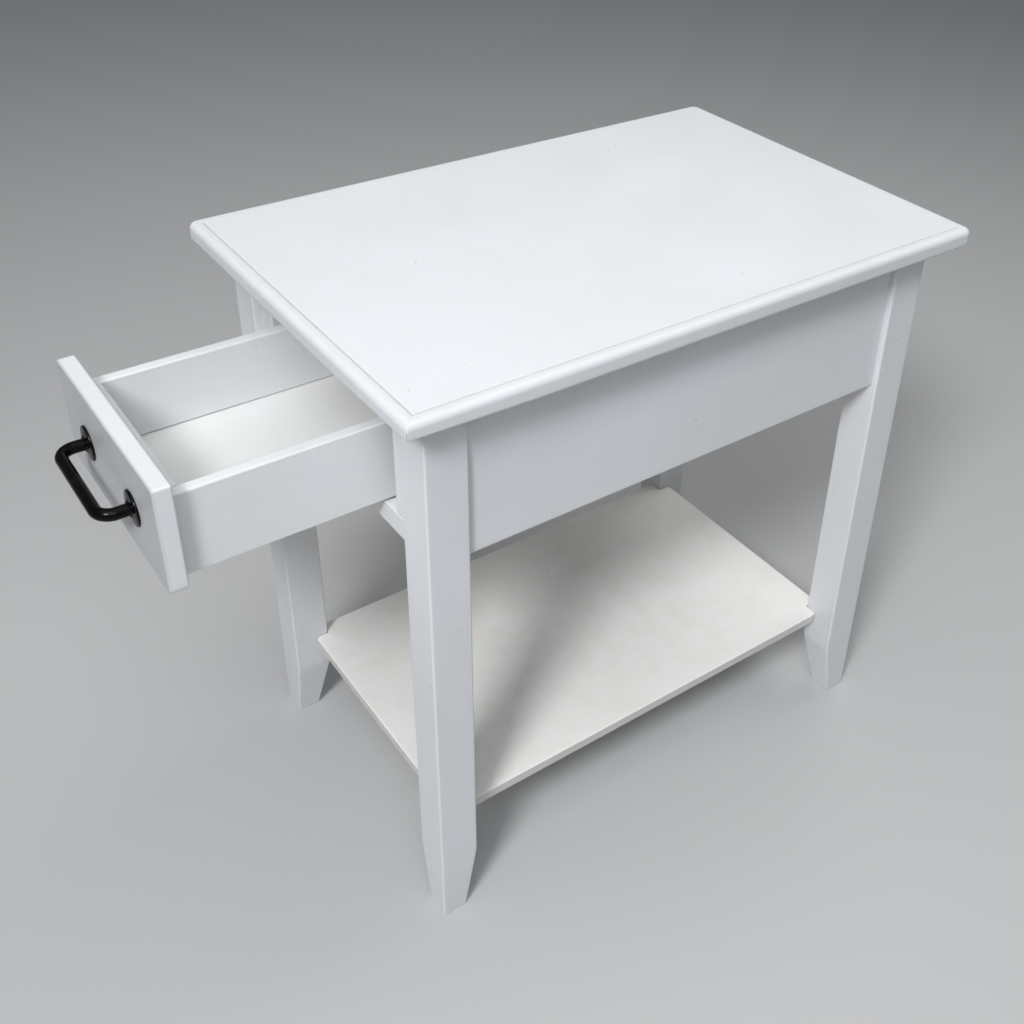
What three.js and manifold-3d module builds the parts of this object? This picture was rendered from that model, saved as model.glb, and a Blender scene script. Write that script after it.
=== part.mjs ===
// Narrow side table with one inset drawer in its short end and a low shelf.
// Units are millimetres, +Z is up. The drawer pulls out along -Y and is stored part open.
import * as THREE from 'three';
import { mergeVertices } from 'three/addons/utils/BufferGeometryUtils.js';
import Module from 'manifold-3d';

const wasm = await Module();
wasm.setup();

// Overall size and the top.
const HEIGHT = 610;
const TOP_X = 412;
const TOP_Y = 620;
const TOP_T = 18;
const EDGE_WIDTH = 12;
const GROOVE = 0.8;
const EDGE_HIGH_R = 6;
const EDGE_LOW_R = 4.5;
const EDGE_STEPS = 5;
const TOP_CORNER_R = 3;
const UNDERSIDE = HEIGHT - TOP_T;

// Legs: square above, tapered on their two inner faces near the floor.
const LEG = 40;
const FOOT = 26;
const TAPER_Z = 73;
const LEGS_X = 178;
const LEGS_Y = 282;
const LEG_EASE = 2;
const INNER_X = LEGS_X - LEG;
const INNER_Y = LEGS_Y - LEG;

// Aprons and the frame round the drawer.
const APRON_T = 18;
const RECESS = 6;
const FRAME_RECESS = 7;
const APRON_BOTTOM = 438.5;
const FRAME_FACE = -(LEGS_Y - FRAME_RECESS);
const FRAME_BACK = FRAME_FACE + APRON_T;
const BACK_FACE = LEGS_Y - RECESS - APRON_T;
const OPENING_X = 114;
const OPENING_LOW = 460;
const OPENING_HIGH = 563;
const RELIEF_X = 80;
const RELIEF_DEPTH = 12;

// Shelf, notched round the inner corners of the legs.
const SHELF_X = 153.5;
const SHELF_Y = 257;
const SHELF_TOP = 114;
const SHELF_T = 12;
const SHELF_CORNER_R = 3.5;

// Drawer: an inset panel on a four-sided box with a grooved-in bottom.
const OPEN = 191;
const PANEL_X = 111.6;
const PANEL_LOW = 461.4;
const PANEL_HIGH = 559.4;
const PANEL_T = 15.6;
const BOX_X = 97.4;
const BOX_LOW = 463.2;
const BOX_HIGH = 540.2;
const BOX_LENGTH = 400;
const SIDE_T = 11;
const FLOOR_TOP = 476.6;
const FLOOR_T = 4;
const FLOOR_CLEAR = 0.2;
const FLOOR_INSET = 4.5;
const PANEL_FACE = FRAME_FACE - OPEN;
const BOX_FRONT = PANEL_FACE + PANEL_T;
const BOX_BACK = BOX_FRONT + BOX_LENGTH;

// What carries, guides and stops the drawer.
const RUNNER_X = [84, 124];
const RUNNER_TOP = 462.8;
const RUNNER_T = 20;
const GUIDE_X = [98.4, 114];
const GUIDE_TOP = 500;
const KICKER_X = [84, 102];
const KICKER_BOTTOM = 541.2;
const STOP_LENGTH = 20;
const STOP_GAP = 0.3;
const TAB_X = 20;
const TAB_Z = [505, 575];
const TAB_T = 12;

// Cleats that hold the top down, and their screws.
const CLEAT = 20;
const CLEAT_Y = 200;
const CLEAT_SCREW_Y = 120;
const CLEAT_SCREW_LENGTH = 32;

// Bar pull and all the screws.
const PULL_X = 52.5;
const PULL_Z = 508;
const PULL_REACH = 25.5;
const PULL_R = 5.25;
const PULL_BEND = 13;
const ROSETTE_R = 15.5;
const ROSETTE_EDGE = 2;
const ROSETTE_T = 4.5;
const SCREW_R = 2;
const HOLE_R = 2.3;
const HEAD_R = 4;
const HEAD_T = 2.8;
const PULL_SCREW_LENGTH = 40;
const PANEL_SCREW_X = 82;
const PANEL_SCREW_LENGTH = 21;

const WHITE = { color: 0xe9ebee, roughness: 0.42, metalness: 0 };
const WARM_WHITE = { color: 0xe8e6e0, roughness: 0.5, metalness: 0 };
const BARE_WOOD = { color: 0xcbb28a, roughness: 0.7, metalness: 0 };
const BLACK = { color: 0x131314, roughness: 0.35, metalness: 0.6 };
const STEEL = { color: 0xa9abad, roughness: 0.35, metalness: 0.9 };

const table = new THREE.Group();
table.name = 'table';
const drawer = new THREE.Group();
drawer.name = 'drawer';

function add(group, name, geometry, look) {
  const material = new THREE.MeshStandardMaterial(look);
  material.name = name;
  const mesh = new THREE.Mesh(geometry, material);
  mesh.name = name;
  group.add(mesh);
  return mesh;
}

// Anticlockwise rounded rectangle in the XY plane.
function roundedRect(x, y, radius, segments) {
  const corners = [
    [x[1] - radius, y[0] + radius, -90],
    [x[1] - radius, y[1] - radius, 0],
    [x[0] + radius, y[1] - radius, 90],
    [x[0] + radius, y[0] + radius, 180],
  ];
  const outline = [];
  for (const [cx, cy, start] of corners) {
    for (let i = 0; i <= segments; i += 1) {
      const angle = THREE.MathUtils.degToRad(start + (90 * i) / segments);
      outline.push([cx + radius * Math.cos(angle), cy + radius * Math.sin(angle)]);
    }
  }
  return outline;
}

// Closed solid through a stack of outlines, each { z, outline } with the same point count.
function loft(levels) {
  const count = levels[0].outline.length;
  const positions = [];
  const index = [];
  for (const { z, outline } of levels) {
    for (const [x, y] of outline) {
      positions.push(x, y, z);
    }
  }
  for (let k = 0; k + 1 < levels.length; k += 1) {
    for (let i = 0; i < count; i += 1) {
      const a = k * count + i;
      const b = k * count + ((i + 1) % count);
      index.push(a, b, b + count);
      index.push(a, b + count, a + count);
    }
  }
  const last = (levels.length - 1) * count;
  const cap = (outline) => THREE.ShapeUtils.triangulateShape(
    outline.map(([x, y]) => new THREE.Vector2(x, y)), []);
  for (const [a, b, c] of cap(levels[0].outline)) {
    index.push(a, c, b);
  }
  for (const [a, b, c] of cap(levels[levels.length - 1].outline)) {
    index.push(last + a, last + b, last + c);
  }
  const geometry = new THREE.BufferGeometry();
  geometry.setAttribute('position', new THREE.Float32BufferAttribute(positions, 3));
  geometry.setIndex(index);
  geometry.computeVertexNormals();
  return geometry;
}

// Board with every edge eased by a small round.
function board(x, y, z, ease = 1, segments = 2) {
  const levels = [];
  for (const side of [0, 1]) {
    for (let i = 0; i <= segments; i += 1) {
      const step = side === 0 ? i : segments - i;
      const angle = (Math.PI / 2) * (step / segments);
      const inset = ease * (1 - Math.sin(angle));
      const rise = ease * (1 - Math.cos(angle));
      const height = side === 0 ? z[0] + rise : z[1] - rise;
      const outline = roundedRect(
        [x[0] + inset, x[1] - inset], [y[0] + inset, y[1] - inset],
        Math.max(ease - inset, ease / 10), segments);
      levels.push({ z: height, outline });
    }
  }
  return loft(levels);
}

// Prism of an XZ outline run along Y, or of a ZY outline run along X.
function prism(points, from, to, axis) {
  const shape = new THREE.Shape(points.map(([u, v]) => new THREE.Vector2(u, v)));
  const geometry = new THREE.ExtrudeGeometry(shape, { depth: to - from, bevelEnabled: false });
  if (axis === 'y') {
    geometry.rotateX(Math.PI / 2);
    geometry.translate(0, to, 0);
  } else if (axis === 'x') {
    geometry.rotateX(Math.PI / 2);
    geometry.rotateZ(Math.PI / 2);
    geometry.translate(from, 0, 0);
  } else {
    geometry.translate(0, 0, from);
  }
  return geometry;
}

function toManifold(geometry) {
  const bare = geometry.clone();
  bare.deleteAttribute('normal');
  bare.deleteAttribute('uv');
  const merged = mergeVertices(bare, 1e-4);
  return new wasm.Manifold(new wasm.Mesh({
    numProp: 3,
    vertProperties: new Float32Array(merged.attributes.position.array),
    triVerts: new Uint32Array(merged.index.array),
  }));
}

function fromManifold(solid) {
  const mesh = solid.getMesh();
  const geometry = new THREE.BufferGeometry();
  geometry.setAttribute('position', new THREE.BufferAttribute(new Float32Array(mesh.vertProperties), 3));
  geometry.setIndex(new THREE.BufferAttribute(new Uint32Array(mesh.triVerts), 1));
  geometry.computeVertexNormals();
  return geometry;
}

function drilled(geometry, drills) {
  let solid = toManifold(geometry);
  for (const drill of drills) {
    solid = solid.subtract(toManifold(drill));
  }
  return fromManifold(solid);
}

// Plain drill, along Y or Z, between two stations.
function drill(at, from, to, axis) {
  const geometry = new THREE.CylinderGeometry(HOLE_R, HOLE_R, to - from, 20);
  const middle = (from + to) / 2;
  if (axis === 'y') {
    geometry.translate(at[0], middle, at[1]);
  } else {
    geometry.rotateX(Math.PI / 2);
    geometry.translate(at[0], at[1], middle);
  }
  return geometry;
}

// Pan-head screw along +Y: the head sits behind y = 0 and the shank runs to y = length.
function screw(length) {
  const profile = [
    [0, -HEAD_T], [HEAD_R * 0.55, -HEAD_T], [HEAD_R * 0.88, -HEAD_T * 0.72], [HEAD_R, -HEAD_T * 0.3],
    [HEAD_R, 0], [SCREW_R, 0], [SCREW_R, length - SCREW_R], [0, length],
  ];
  return new THREE.LatheGeometry(profile.map(([r, y]) => new THREE.Vector2(r, y)), 20);
}

// Top: a flat panel framed by four mitred mouldings, rounded over above and below.
const halfX = TOP_X / 2;
const halfY = TOP_Y / 2;

function panelBlank(grow) {
  const x = halfX - EDGE_WIDTH;
  const y = halfY - EDGE_WIDTH;
  const outline = (d) => [[-x - d, -y - d], [x + d, -y - d], [x + d, y + d], [-x - d, y + d]];
  const skirt = grow > 0 ? 1 : 0;
  return loft([
    { z: UNDERSIDE - skirt, outline: outline(0) },
    { z: HEIGHT - GROOVE, outline: outline(0) },
    { z: HEIGHT + skirt * GROOVE, outline: outline(grow) },
  ]);
}

const cleatMiddle = INNER_X + LEG - RECESS - APRON_T - CLEAT / 2;
const cleatScrews = [];
for (const sx of [-1, 1]) {
  for (const sy of [-1, 1]) {
    cleatScrews.push([sx * cleatMiddle, sy * CLEAT_SCREW_Y]);
  }
}
const screwSeat = UNDERSIDE - CLEAT;
const cleatDrills = cleatScrews.map(
  (at) => drill(at, screwSeat - 1, screwSeat + CLEAT_SCREW_LENGTH + 1, 'z'));
add(table, 'top_panel', drilled(panelBlank(-GROOVE), cleatDrills), WHITE);

function mouldingLevel(inset, z) {
  const outline = roundedRect(
    [-halfX + inset, halfX - inset], [-halfY + inset, halfY - inset],
    Math.max(TOP_CORNER_R - inset, 1), 6);
  return { z, outline };
}

function mouldingRing() {
  const levels = [];
  for (let i = 0; i <= EDGE_STEPS; i += 1) {
    const angle = (Math.PI / 2) * (i / EDGE_STEPS);
    const inset = EDGE_LOW_R * (1 - Math.sin(angle));
    levels.push(mouldingLevel(inset, UNDERSIDE + EDGE_LOW_R * (1 - Math.cos(angle))));
  }
  for (let i = EDGE_STEPS; i >= 0; i -= 1) {
    const angle = (Math.PI / 2) * (i / EDGE_STEPS);
    const inset = EDGE_HIGH_R * (1 - Math.sin(angle));
    levels.push(mouldingLevel(inset, HEIGHT - EDGE_HIGH_R * (1 - Math.cos(angle))));
  }
  return toManifold(loft(levels)).subtract(toManifold(panelBlank(2 * GROOVE)));
}

const ring = mouldingRing();
const outX = halfX + EDGE_WIDTH;
const outY = halfY + EDGE_WIDTH;
const inX = halfX - 2 * EDGE_WIDTH;
const inY = halfY - 2 * EDGE_WIDTH;
const mitres = {
  top_edge_front: [[-outX, -outY], [outX, -outY], [inX, -inY], [-inX, -inY]],
  top_edge_back: [[outX, outY], [-outX, outY], [-inX, inY], [inX, inY]],
  top_edge_right: [[outX, -outY], [outX, outY], [inX, inY], [inX, -inY]],
  top_edge_left: [[-outX, outY], [-outX, -outY], [-inX, -inY], [-inX, inY]],
};
for (const [name, outline] of Object.entries(mitres)) {
  const wedge = toManifold(prism(outline, UNDERSIDE - 2, HEIGHT + 2, 'z'));
  add(table, name, fromManifold(ring.intersect(wedge)), WHITE);
}

// Legs.
function legOutline(sx, sy, width) {
  const x = sx > 0 ? [LEGS_X - width, LEGS_X] : [-LEGS_X, -LEGS_X + width];
  const y = sy > 0 ? [LEGS_Y - width, LEGS_Y] : [-LEGS_Y, -LEGS_Y + width];
  return roundedRect(x, y, LEG_EASE, 3);
}

const corners = { front_left: [-1, -1], front_right: [1, -1], back_left: [-1, 1], back_right: [1, 1] };
for (const [corner, [sx, sy]] of Object.entries(corners)) {
  const geometry = loft([
    { z: 0, outline: legOutline(sx, sy, FOOT) },
    { z: TAPER_Z, outline: legOutline(sx, sy, LEG) },
    { z: UNDERSIDE, outline: legOutline(sx, sy, LEG) },
  ]);
  add(table, `leg_${corner}`, geometry, WHITE);
}

// Mirrors an X range to the side asked for.
function sided(side, range) {
  return side > 0 ? range : [-range[1], -range[0]];
}

const sides = { left: -1, right: 1 };
const apronX = [LEGS_X - RECESS - APRON_T, LEGS_X - RECESS];
const upright = [APRON_BOTTOM, UNDERSIDE];
for (const [name, side] of Object.entries(sides)) {
  add(table, `apron_${name}`, board(sided(side, apronX), [-INNER_Y, INNER_Y], upright), WHITE);
}
add(table, 'apron_back', board([-INNER_X, INNER_X], [BACK_FACE, BACK_FACE + APRON_T], upright), WHITE);

// Frame round the drawer opening. The lower rail is relieved between its two ends.
const frameY = [FRAME_FACE, FRAME_BACK];
add(table, 'front_upper_rail', board([-INNER_X, INNER_X], frameY, [OPENING_HIGH, UNDERSIDE]), WHITE);
for (const [name, side] of Object.entries(sides)) {
  const x = sided(side, [OPENING_X, INNER_X]);
  add(table, `front_stile_${name}`, board(x, frameY, [OPENING_LOW, OPENING_HIGH]), WHITE);
}
const railOutline = [
  [-INNER_X, APRON_BOTTOM], [-RELIEF_X, APRON_BOTTOM],
  [-RELIEF_X, APRON_BOTTOM + RELIEF_DEPTH], [RELIEF_X, APRON_BOTTOM + RELIEF_DEPTH],
  [RELIEF_X, APRON_BOTTOM], [INNER_X, APRON_BOTTOM],
  [INNER_X, OPENING_LOW], [-INNER_X, OPENING_LOW],
];
add(table, 'front_lower_rail', prism(railOutline, FRAME_FACE, FRAME_BACK, 'y'), WHITE);

// Shelf.
function shelfOutline(inset) {
  const radius = Math.max(SHELF_CORNER_R - inset, 0.5);
  const quarter = [];
  const arc = (cx, cy, start) => {
    for (let i = 0; i <= 4; i += 1) {
      const angle = THREE.MathUtils.degToRad(start + (90 * i) / 4);
      quarter.push([cx + radius * Math.cos(angle), cy + radius * Math.sin(angle)]);
    }
  };
  arc(SHELF_X - inset - radius, INNER_Y - inset - radius, 0);
  quarter.push([INNER_X - inset, INNER_Y - inset]);
  arc(INNER_X - inset - radius, SHELF_Y - inset - radius, 0);
  const flip = (sx, sy) => quarter.map(([x, y]) => [sx * x, sy * y]);
  return [
    ...flip(1, 1), ...flip(-1, 1).reverse(), ...flip(-1, -1), ...flip(1, -1).reverse(),
  ];
}

const SHELF_EASE = 1.5;
add(table, 'shelf', loft([
  { z: SHELF_TOP - SHELF_T, outline: shelfOutline(SHELF_EASE) },
  { z: SHELF_TOP - SHELF_T + SHELF_EASE, outline: shelfOutline(0) },
  { z: SHELF_TOP - SHELF_EASE, outline: shelfOutline(0) },
  { z: SHELF_TOP, outline: shelfOutline(SHELF_EASE) },
]), WARM_WHITE);

// Runners, side guides, kickers, closing stops and cleats, one of each per side.
const closedBack = BOX_BACK + OPEN;
for (const [name, side] of Object.entries(sides)) {
  const run = [FRAME_BACK, BACK_FACE];
  add(table, `drawer_runner_${name}`,
    board(sided(side, RUNNER_X), run, [RUNNER_TOP - RUNNER_T, RUNNER_TOP]), BARE_WOOD);
  add(table, `drawer_guide_${name}`,
    board(sided(side, GUIDE_X), run, [RUNNER_TOP, GUIDE_TOP]), BARE_WOOD);
  add(table, `drawer_kicker_${name}`,
    board(sided(side, KICKER_X), run, [KICKER_BOTTOM, UNDERSIDE]), BARE_WOOD);
  const stopY = [closedBack + STOP_GAP, closedBack + STOP_GAP + STOP_LENGTH];
  add(table, `drawer_stop_${name}`,
    board(sided(side, [RUNNER_X[0], GUIDE_X[0]]), stopY, [RUNNER_TOP, RUNNER_TOP + RUNNER_T]), BARE_WOOD);
  const cleatX = sided(side, [cleatMiddle - CLEAT / 2, cleatMiddle + CLEAT / 2]);
  const blank = board(cleatX, [-CLEAT_Y, CLEAT_Y], [screwSeat, UNDERSIDE]);
  add(table, `top_cleat_${name}`, drilled(blank, cleatDrills), BARE_WOOD);
}
const cleatScrewNames = ['front_left', 'back_left', 'front_right', 'back_right'];
cleatScrews.forEach(([x, y], i) => {
  const mesh = add(table, `cleat_screw_${cleatScrewNames[i]}`, screw(CLEAT_SCREW_LENGTH), STEEL);
  mesh.rotation.x = Math.PI / 2;
  mesh.position.set(x, y, screwSeat);
});

// Drawer front panel and the inner front behind it, drilled for their screws.
const innerFrontFace = BOX_FRONT + SIDE_T;
const pullStations = [[-PULL_X, PULL_Z], [PULL_X, PULL_Z]];
const panelStations = [[-PANEL_SCREW_X, PULL_Z], [PANEL_SCREW_X, PULL_Z]];
const pullDrills = pullStations.map((at) => drill(at, PANEL_FACE - 1, innerFrontFace + 1, 'y'));
const panelDrills = panelStations.map(
  (at) => drill(at, innerFrontFace - PANEL_SCREW_LENGTH - 1, innerFrontFace + 1, 'y'));
const panel = board([-PANEL_X, PANEL_X], [PANEL_FACE, BOX_FRONT], [PANEL_LOW, PANEL_HIGH], 3, 4);
add(drawer, 'drawer_front', drilled(panel, [...pullDrills, ...panelDrills]), WHITE);

const grooveLow = FLOOR_TOP - FLOOR_T - FLOOR_CLEAR;
const grooveHigh = FLOOR_TOP + FLOOR_CLEAR;
const grooveDepth = FLOOR_INSET + FLOOR_CLEAR;
// Section of a grooved board: u runs away from the drawer's inside, v is height.
const grooved = (inner, outer, sign) => [
  [sign * inner, BOX_LOW], [sign * outer, BOX_LOW], [sign * outer, BOX_HIGH], [sign * inner, BOX_HIGH],
  [sign * inner, grooveHigh], [sign * (inner + grooveDepth), grooveHigh],
  [sign * (inner + grooveDepth), grooveLow], [sign * inner, grooveLow],
];
for (const [name, side] of Object.entries(sides)) {
  const section = grooved(BOX_X - SIDE_T, BOX_X, side);
  add(drawer, `drawer_side_${name}`, prism(section, BOX_FRONT, BOX_BACK, 'y'), WARM_WHITE);
}
const boxInnerX = BOX_X - SIDE_T;
const frontSection = grooved(-innerFrontFace, -BOX_FRONT, -1);
const innerFront = prism(frontSection, -boxInnerX, boxInnerX, 'x');
add(drawer, 'drawer_inner_front', drilled(innerFront, [...pullDrills, ...panelDrills]), WARM_WHITE);
const backInner = BOX_BACK - SIDE_T;
add(drawer, 'drawer_back',
  board([-boxInnerX, boxInnerX], [backInner, BOX_BACK], [grooveHigh, BOX_HIGH], 0.6), WARM_WHITE);
const floorX = boxInnerX + FLOOR_INSET;
add(drawer, 'drawer_bottom',
  board([-floorX, floorX], [innerFrontFace - FLOOR_INSET, BOX_BACK],
    [FLOOR_TOP - FLOOR_T, FLOOR_TOP], 0.4, 1), WARM_WHITE);
add(drawer, 'drawer_out_stop', board([-TAB_X, TAB_X], [backInner - TAB_T, backInner], TAB_Z), BARE_WOOD);

// Bar pull: a round rod bent twice, on two domed rosettes, held by screws from inside.
const rodStart = PANEL_FACE - ROSETTE_T;
const rodAxis = PANEL_FACE - PULL_REACH;
const path = new THREE.CurvePath();
const point = (x, y) => new THREE.Vector3(x, y, PULL_Z);
path.add(new THREE.LineCurve3(point(-PULL_X, rodStart), point(-PULL_X, rodAxis + PULL_BEND)));
path.add(new THREE.CubicBezierCurve3(
  point(-PULL_X, rodAxis + PULL_BEND), point(-PULL_X, rodAxis + PULL_BEND * 0.45),
  point(-PULL_X + PULL_BEND * 0.55, rodAxis), point(-PULL_X + PULL_BEND, rodAxis)));
path.add(new THREE.LineCurve3(point(-PULL_X + PULL_BEND, rodAxis), point(PULL_X - PULL_BEND, rodAxis)));
path.add(new THREE.CubicBezierCurve3(
  point(PULL_X - PULL_BEND, rodAxis), point(PULL_X - PULL_BEND * 0.55, rodAxis),
  point(PULL_X, rodAxis + PULL_BEND * 0.45), point(PULL_X, rodAxis + PULL_BEND)));
path.add(new THREE.LineCurve3(point(PULL_X, rodAxis + PULL_BEND), point(PULL_X, rodStart)));
const rodSection = new THREE.Shape();
rodSection.absarc(0, 0, PULL_R, 0, 2 * Math.PI, false);
const rod = new THREE.ExtrudeGeometry(rodSection, { steps: 64, curveSegments: 10, extrudePath: path });
const threadEnd = innerFrontFace - PULL_SCREW_LENGTH;
const threadDrills = pullStations.map((at) => drill(at, threadEnd - 1, rodStart + 1, 'y'));
add(drawer, 'pull_bar', drilled(rod, threadDrills), BLACK);

const rosetteProfile = [
  [HOLE_R, 0], [ROSETTE_R, 0], [ROSETTE_R, ROSETTE_EDGE * 0.6], [ROSETTE_R - 0.8, ROSETTE_EDGE],
  [ROSETTE_R * 0.72, ROSETTE_EDGE + 0.9], [PULL_R + 1.6, ROSETTE_EDGE + 1.5],
  [PULL_R + 1.4, ROSETTE_T], [HOLE_R, ROSETTE_T], [HOLE_R, 0],
];
for (const [name, side] of Object.entries(sides)) {
  const lathe = new THREE.LatheGeometry(rosetteProfile.map(([r, y]) => new THREE.Vector2(r, y)), 32);
  const rosette = add(drawer, `pull_rosette_${name}`, lathe, BLACK);
  rosette.rotation.x = Math.PI;
  rosette.position.set(side * PULL_X, PANEL_FACE, PULL_Z);
  const pullScrew = add(drawer, `pull_screw_${name}`, screw(PULL_SCREW_LENGTH), STEEL);
  pullScrew.rotation.x = Math.PI;
  pullScrew.position.set(side * PULL_X, innerFrontFace, PULL_Z);
  const panelScrew = add(drawer, `front_screw_${name}`, screw(PANEL_SCREW_LENGTH), STEEL);
  panelScrew.rotation.x = Math.PI;
  panelScrew.position.set(side * PANEL_SCREW_X, innerFrontFace, PULL_Z);
}

// The origin is the middle of the floor area the whole object covers, drawer included.
const group = new THREE.Group();
group.name = 'side_table';
group.add(table);
group.add(drawer);
group.position.y = (PULL_R - rodAxis - halfY) / 2;

export default group;
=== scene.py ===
import math

import bmesh
import bpy
from mathutils import Euler, Matrix, Vector, noise


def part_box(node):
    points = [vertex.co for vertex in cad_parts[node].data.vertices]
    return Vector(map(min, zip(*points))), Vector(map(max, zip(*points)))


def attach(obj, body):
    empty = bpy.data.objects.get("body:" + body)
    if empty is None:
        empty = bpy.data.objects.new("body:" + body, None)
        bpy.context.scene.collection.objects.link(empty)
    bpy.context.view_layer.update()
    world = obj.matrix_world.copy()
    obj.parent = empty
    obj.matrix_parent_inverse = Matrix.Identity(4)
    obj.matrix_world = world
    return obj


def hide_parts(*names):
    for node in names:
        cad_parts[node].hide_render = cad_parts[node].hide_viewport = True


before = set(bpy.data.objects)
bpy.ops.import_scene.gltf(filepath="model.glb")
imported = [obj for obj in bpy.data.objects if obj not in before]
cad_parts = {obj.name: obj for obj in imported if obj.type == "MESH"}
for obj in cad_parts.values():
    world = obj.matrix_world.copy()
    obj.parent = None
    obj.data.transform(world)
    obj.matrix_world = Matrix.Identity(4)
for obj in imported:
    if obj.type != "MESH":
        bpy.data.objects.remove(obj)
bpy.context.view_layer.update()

# ---------------------------------------------------------------- driving values, in metres
X, Y, Z = range(3)
MM = 0.001
TINY = 1e-9

# Sanded boards
EDGE_R = 1.6 * MM            # edge of a painted board
FINE_R = 0.9 * MM            # edge of a bare or thin board
LONG_EDGE = 1.3              # a board's long edges are rounder than its ends by this factor
WOBBLE = 0.12 * MM           # how far a hand-sanded face wanders inwards
WOBBLE_FREQUENCY = 9.0       # how fast it does so along a face
SEED_STEP = 3.7              # distance between two boards in the noise that it follows
STATION = 14 * MM            # spacing of the cross-sections along a board
SHORT_STATION = 6 * MM       # the same on a short board
OUTLINE_STEP = 30 * MM       # longest stretch between two points of a cross-section
SHORT_OUTLINE_STEP = 20 * MM
ARC = 5                      # segments in a rounded edge
SHARP = math.radians(34)     # faces that meet at more than this keep a sharp edge between them
MERGE = 0.001 * MM           # points closer than this are one

# Wear, stored per point: up to 1 is a rubbed edge, up to SHADE_AND_DIRT is painted shade with some settled
# dirt, up to CRACK is a dark crack
EDGE_WEAR = 0.25             # wear where a rounded edge starts; it is 1 in its middle
SHADE_AND_DIRT = 2.0
CRACK = 3.0
SHELF_EDGE_SHADE = 1.68            # painted shade on the shelf's edge faces
GROOVE_SHADE_AND_DIRT = 1.5            # painted shade and dirt in the groove of the top, at the front, then at the right
GROOVE_SHADE_AND_DIRT_RIGHT = 1.27

# Mouldings round the top, and the groove just inside them
MOULD_LOW_R = 4.5 * MM       # lower and upper rounds of their section
MOULD_HIGH_R = 6 * MM
MOULD_ARC = 8
MOULD_ROUND_R = 9 * MM       # plan corners: rounded on three, crisp on the front right one
MOULD_CRISP_R = 1.5 * MM
MOULD_INNER_R = 0.2 * MM
MOULD_LOW_WEAR = 0.35
MOULD_TOP_WEAR = 0.45        # on the upper round, where it meets the flat top
MOULD_EDGE_WEAR = 0.3        # how much more there is at its outer end
MITRE_ARC = 6
MITRE_GAP = 0.01 * MM
MITRE_OPENED = 2.0 * MM      # how far the front right mitre would open from half its height to its foot
MITRE_SOUND = 0.12           # share of that half that stays closed
SANDED = 3.2 * MM            # how much thinner the mouldings are sanded towards that corner
SANDED_REACH = 110 * MM
GROOVE_WIDTH = 2.0 * MM      # of the groove's slope on the moulding, where it is open
GROOVE_BEVEL = 0.25          # width of its slope on the panel, as a share of that
GROOVE_DEPTH = 1.2 * MM
GROOVE_CORNER_R = 0.3 * MM
GROOVE_FILLED = 0.25         # share of the width left where paint has filled it, at the back and left

# Legs, lower rail and shelf
LEG_R = 2.1 * MM
LEG_END_R = 1.2 * MM
LEG_STATION = 4 * MM
FOOT = 26 * MM
TAPER_TOP = 73 * MM
TAPER_BLEND = 2 * MM         # softness of the break where a leg starts to taper
RELIEF_X = 80 * MM           # half length of the cut under the lower rail
RELIEF_DEPTH = 12 * MM
SHELF_R = 1.3 * MM
SHELF_TIP_R = 5 * MM         # plan corners of the shelf on either side of a leg's notch
SHELF_NOTCH_R = 0.8 * MM
SHELF_GAP = 0.45 * MM        # between the shelf and a leg
SHELF_ARC = 6

# Drawer
PANEL_R = 1.9 * MM           # front's face edges
PANEL_LOW_R = 4.5 * MM       # its corners seen from the front: both lower, then upper left and right
PANEL_LEFT_R = 4 * MM
PANEL_RIGHT_R = 2.2 * MM
SIDE_TOP_R = 1.8 * MM        # upper edges of the box
SIDE_END_R = 0.5 * MM
INNER_FRONT_END_R = 0.3 * MM
FLOOR_R = 0.4 * MM
FLOOR_GROOVE = 4.7 * MM      # depth of the groove that the floor sits in
FLOOR_GROOVE_R = 0.5 * MM
FLOOR_SLACK = 0.2 * MM       # gap above and below the floor
FLOOR_GAP = 0.9 * MM         # gap above it at the front end of the left side

# Pull
BAR_BEND = 13 * MM           # radius of the bar's bends along its middle
BAR_FOOT = 1.2 * MM          # how far the bar's ends stay off the drawer's face, inside the rosettes
BAR_SIDES = 32
BAR_FOOT_STEPS = 8
BAR_BEND_STEPS = 14
BAR_GRIP_STEPS = 24
GRIP_REACH = 35 * MM         # half length of the part that hands have rubbed
GRIP_WEAR = 0.25
ROSETTE_SIDES = 72
ROSETTE_PLAY = 0.05 * MM     # gap between the bar and a rosette

# Screws: lengths are shares of the head's radius, unless they say otherwise
SCREW_SIDES = 48
HEAD_RINGS = 12
HEAD_T = 0.7                 # thickness of the head
SHANK = 0.5                  # radius of the shank
CROWN = 0.24                 # rise of the head's face, as a share of its thickness
THREAD_ROOT = 0.8            # as a share of the shank's radius
THREAD_TURNS = 18
RECESS_HALF_WIDTH = 0.144    # arms of the cross recess, as shares of the head's radius
RECESS_REACH = 0.52
RECESS_RUN = 0.62            # where its sloping floor comes up to RECESS_RIM
RECESS_DEPTH = 0.55          # its depth in the middle is these two together, as shares of the thickness
RECESS_RIM = 0.12


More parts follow.
